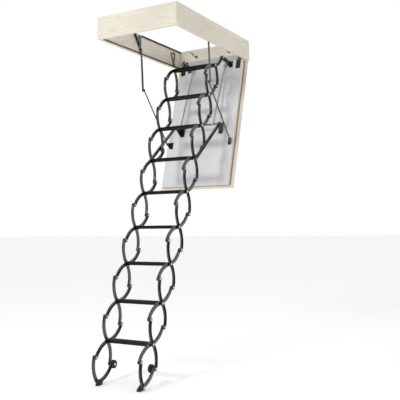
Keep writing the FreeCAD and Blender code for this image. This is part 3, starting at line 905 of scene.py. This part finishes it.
    def roller(self, side: Side) -> None:
        """Grooved rubber roller with dished cheeks, its profile closed round the bore.

        Args:
            side: Side of the ladder.
        """
        low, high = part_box("wheel_right")
        radius = (high.z - low.z) / 2
        width = high.x - low.x
        bore = self.pin_radius + self.bore_slack
        cheek = [
            (0.0, bore), (0.0, 0.011), (0.003, 0.0125), (0.004, radius * 0.60),
            (0.0035, radius * 0.72), (0.0, radius * 0.80), (0.0, radius * 0.92),
            (0.0022, radius * 0.985), (0.0045, radius),
        ]
        line = list(cheek)
        for x in (width * 0.36, width * 0.5, width * 0.64):
            line += [(x - 0.0012, radius), (x - 0.0006, radius - 0.0013),
                     (x + 0.0006, radius - 0.0013), (x + 0.0012, radius)]
        line += [(width - x, r) for x, r in reversed(cheek)]
        profile = [(side.value * (low.x + x), r) for x, r in line]
        label = side.name.lower()
        shell = Shell()
        turned_part(shell, tuple(self.points.back[-1]), profile, self.roller_sides, Ends.JOINED)
        piece = shell.build("roller_" + label, "wheel_" + label, self.finishes.rubber)
        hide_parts("wheel_" + label)

    def roller_axles(self) -> None:
        """Stub axles with caps that hold the rollers."""
        low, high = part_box("wheel_right")
        cap = self.cap_radius
        pin = self.pin_radius
        line = [(low.x - 0.0036, self.pin_tip), (low.x - 0.0032, cap * 0.6), (low.x - 0.0024, cap * 0.95),
                (low.x - 0.0014, cap), (low.x - 0.0007, cap), (low.x - 0.0006, pin),
                (high.x + 0.0005, pin), (high.x + 0.003, pin), (high.x + 0.0031, self.pin_tip)]
        shell = Shell()
        for side in Side:
            turned_part(shell, tuple(self.points.back[-1]), [(side.value * x, r) for x, r in line], 32)
        piece = shell.build("roller_axles", "step_%d" % LADDER_STAGES, self.finishes.zinc)

    def feet(self) -> None:
        """Rubber feet with a toothed sole.

        The outline is an arc about the last crossing in front and a short one
        behind, with the sloping upper rim between them, then a blunt toe; the
        sole is a row of shallow teeth.
        """
        centre = self.points.crossings[-1]
        low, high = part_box("rubber_feet")
        radius = centre[1] - low.z
        turn = np.radians(np.concatenate([np.linspace(-55.0, 50.5, 20), np.linspace(195.0, 204.0, 3)]))
        heel = np.column_stack([np.cos(turn), np.sin(turn)]) * radius * 0.985
        toe_y = low.y - centre[0]
        toe = np.array([(toe_y + 0.001, -radius * 0.52), (toe_y, -radius * 0.7), (toe_y + 0.001, -radius)])
        sole_y = np.linspace(toe_y + 0.003, radius * 0.50, self.sole_points)
        teeth = np.where(np.arange(self.sole_points) % 2 == 0, -radius, -radius + self.sole_tooth)
        outline = np.concatenate([heel, toe, np.column_stack([sole_y, teeth])]) + centre
        near = self.stile_x - self.arm_gap / 2 - self.foot_reach
        far = high.x - self.foot_inset
        shell = Shell()
        for side in Side:
            x_low, x_high = sorted((side.value * near, side.value * far))
            plate(shell, outline, x_low, x_high, 0.0018)
        piece = shell.build("ribbed_feet", "step_%d" % LADDER_STAGES, self.finishes.rubber)
        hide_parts("rubber_feet")

    def build(self) -> None:
        """Build every stage from the top down, then the rollers and feet.

        The last stage has no front half on its inner arms, no back half on its
        outer arms and no tread. The first has no front half on its outer arms.
        """
        crossings, front, back = self.points.crossings, self.points.front, self.points.back
        for stage in range(1, LADDER_STAGES + 1):
            here = crossings[stage - 1]
            inner = [(back[stage - 1], here, 1.0)]
            pins = [here, back[stage - 1]]
            outer = []
            if stage > 1:
                outer.append((front[stage - 2], here, -1.0))
            if stage < LADDER_STAGES:
                inner.append((here, front[stage - 1], -1.0))
                pins.append(front[stage - 1])
                outer.append((here, back[stage], 1.0))
            self.arms(Arm.INNER, stage, inner)
            self.rivets(stage, pins)
            if stage < LADDER_STAGES:
                self.tread(stage)
            self.arms(Arm.OUTER, stage, outer)
        for side in Side:
            self.roller(side)
        self.roller_axles()
        self.feet()
        LOG.info("ladder of %d stages built", LADDER_STAGES)


# Casing and hatch, which keep their CAD nodes


@dataclass
class KeptNodes:
    """A sub-assembly whose CAD nodes stay and are given finishes."""

    shared: SharedFinishes

    def coat(self, material: bpy.types.Material, *names: str) -> None:
        """Put one material on CAD nodes.

        Args:
            material: Finish.
            names: Node names.
        """
        for name in names:
            for slot in frame["nodes"][name].material_slots:
                slot.material = material
        LOG.info("%s on %d nodes", material.name, len(names))


@dataclass
class Casing(KeptNodes):
    """Boards, seals and fixed brackets in the ceiling opening."""

    long_board: PineFinish = PineFinish("pine_long", Grain.ALONG_Y)
    short_board: PineFinish = PineFinish("pine_short", Grain.ALONG_X)
    seal: RubberFinish = RubberFinish("seal_rubber", (0.05, 0.035, 0.025), (0.12, 0.09, 0.07))
    lining: PaintedSheet = PaintedSheet("grey_strip", (0.50, 0.51, 0.54), (0.42, 0.43, 0.46))

    def dress(self) -> None:
        """Give every node its finish."""
        self.coat(self.long_board.material(), "casing_board_left", "casing_board_right")
        self.coat(self.short_board.material(), "casing_board_hinge_end", "casing_board_latch_end")
        self.coat(self.seal.material(), "casing_seals")
        self.coat(self.lining.material(), "end_lining")
        self.coat(self.shared.zinc, "casing_screws", "latch_strike")
        self.coat(self.shared.coat, "hinge_fixed_leaves", "hanger_brackets", "arm_brackets", "rest_hooks")


@dataclass
class Hatch(KeptNodes):
    """Hatch panel with its latch, the hatch arms, the struts and what carries the ladder."""

    frame_wood: PineFinish = PineFinish("pine_frame", Grain.ALONG_Y, along=0.3)
    gasket: RubberFinish = RubberFinish("foam_strip", (0.33, 0.26, 0.18), (0.42, 0.35, 0.26))
    sheet: PaintedSheet = PaintedSheet("white_sheet", (0.86, 0.86, 0.87), (0.80, 0.80, 0.82), 0.4)
    board: PaintedSheet = PaintedSheet("outer_board", (0.82, 0.79, 0.72), (0.76, 0.72, 0.64))
    tube: PaintedSheet = PaintedSheet("grey_tube", (0.50, 0.51, 0.53), (0.42, 0.43, 0.45), 0.3, 0.5)
    core: FoamFinish = FoamFinish("foam")

    def dress(self) -> None:
        """Give every node its finish."""
        self.coat(self.frame_wood.material(), "hatch_frame")
        self.coat(self.gasket.material(), "hatch_gasket")
        self.coat(self.sheet.material(), "hatch_lining", "latch_case")
        self.coat(self.board.material(), "hatch_lip")
        self.coat(self.tube.material(), "brace_tubes")
        self.coat(self.core.material(), "hatch_core")
        self.coat(self.shared.zinc, "latch_bolt")
        self.coat(self.shared.coat, "hinge_moving_leaves", "ladder_brackets", "strut_brackets",
                  "cross_shaft", "struts", "arm_feet", "upper_arms", "lower_rods")


# Camera and light


@dataclass
class Studio:
    """Camera, light, floor and surroundings. Angles are in degrees."""

    eye: tuple = (2.6526, -4.3771, -1.3872)
    turn: float = 29.49
    tilt: float = 1.96
    roll: float = -0.90
    lens: float = 57.30
    floor_level: float = -2.512
    floor_half: float = 40.0
    floor_glow: float = 0.16
    sky: float = 1.0
    dim_sky: float = 0.20
    dark_from: float = -0.75
    bright_from: float = 0.05
    key_place: tuple = (-0.6, -4.6, 1.0)
    key_aim: tuple = (0.0, 0.2, -0.9)
    key_size: float = 0.9
    key_power: float = 88.0

    def camera(self) -> None:
        """Place the camera from its turn, tilt and roll.

        The view direction is turned from +Y towards -X and tilted up; right is
        level before the roll, and up is their cross product.
        """
        turn, tilt, roll = (math.radians(value) for value in (self.turn, self.tilt, self.roll))
        ahead = np.array([-math.sin(turn) * math.cos(tilt), math.cos(turn) * math.cos(tilt), math.sin(tilt)])
        right = np.array([math.cos(turn), math.sin(turn), 0.0])
        up = np.cross(right, ahead)
        rolled_right = math.cos(roll) * right + math.sin(roll) * up
        rolled_up = math.cos(roll) * up - math.sin(roll) * right
        data = bpy.data.cameras.new("camera")
        data.lens = self.lens
        data.sensor_width = 36.0
        data.clip_end = 60.0
        made = bpy.data.objects.new("camera", data)
        matrix = np.eye(4)
        matrix[:3] = np.column_stack([rolled_right, rolled_up, -ahead, self.eye])
        made.matrix_world = Matrix(matrix.tolist())
        bpy.context.scene.collection.objects.link(made)
        bpy.context.scene.camera = made

    def surroundings(self) -> None:
        """White surroundings that darken towards -Y.

        The strength is a clamped linear function of the direction's Y.
        """
        world = bpy.data.worlds.new("studio")
        world.use_nodes = True
        tree = world.node_tree
        background = tree.nodes["Background"]
        background.inputs[0].default_value = (1.0, 1.0, 1.0, 1.0)
        direction = tree.nodes.new("ShaderNodeTexCoord")
        parts = tree.nodes.new("ShaderNodeSeparateXYZ")
        change = tree.nodes.new("ShaderNodeMapRange")
        for number, value in enumerate((self.dark_from, self.bright_from, self.dim_sky, self.sky), 1):
            change.inputs[number].default_value = value
        tree.links.new(direction.outputs["Generated"], parts.inputs[0])
        tree.links.new(parts.outputs["Y"], change.inputs[0])
        tree.links.new(change.outputs[0], background.inputs[1])
        bpy.context.scene.world = world

    def key_light(self) -> None:
        """Square area light aimed at the ladder."""
        data = bpy.data.lights.new("key", "AREA")
        data.size = self.key_size
        data.energy = self.key_power
        made = bpy.data.objects.new("key", data)
        made.location = self.key_place
        way = Vector(self.key_aim) - Vector(self.key_place)
        made.rotation_euler = way.to_track_quat("-Z", "Y").to_euler()
        bpy.context.scene.collection.objects.link(made)

    def floor(self) -> None:
        """Pale floor under the ladder's feet, one large square."""
        corners = ((-1, -1), (1, -1), (1, 1), (-1, 1))
        points = [(x * self.floor_half, y * self.floor_half, self.floor_level) for x, y in corners]
        mesh = bpy.data.meshes.new("floor")
        mesh.from_pydata(points, [], [(0, 1, 2, 3)])
        glow = {"Emission Color": (1.0, 1.0, 1.0, 1.0), "Emission Strength": self.floor_glow}
        mesh.materials.append(Sheet("pale_floor").finish((0.97, 0.97, 0.97), 0.9, extras=glow))
        made = bpy.data.objects.new("floor", mesh)
        bpy.context.scene.collection.objects.link(made)

    def build(self) -> None:
        """Set up the whole studio."""
        self.camera()
        self.surroundings()
        bpy.context.scene.view_settings.view_transform = "Standard"
        bpy.context.scene.view_settings.look = "None"
        self.key_light()
        self.floor()
        LOG.info("studio ready")


def main() -> None:
    """Build the studio, the ladder and the finishes."""
    logging.basicConfig(level=logging.INFO)
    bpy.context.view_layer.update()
    Studio().build()
    shared = SharedFinishes.make()
    ScissorLadder(LadderPoints.from_joints(frame["joints"]), shared).build()
    Casing(shared).dress()
    Hatch(shared).dress()


if __name__ == "__main__":
    main()
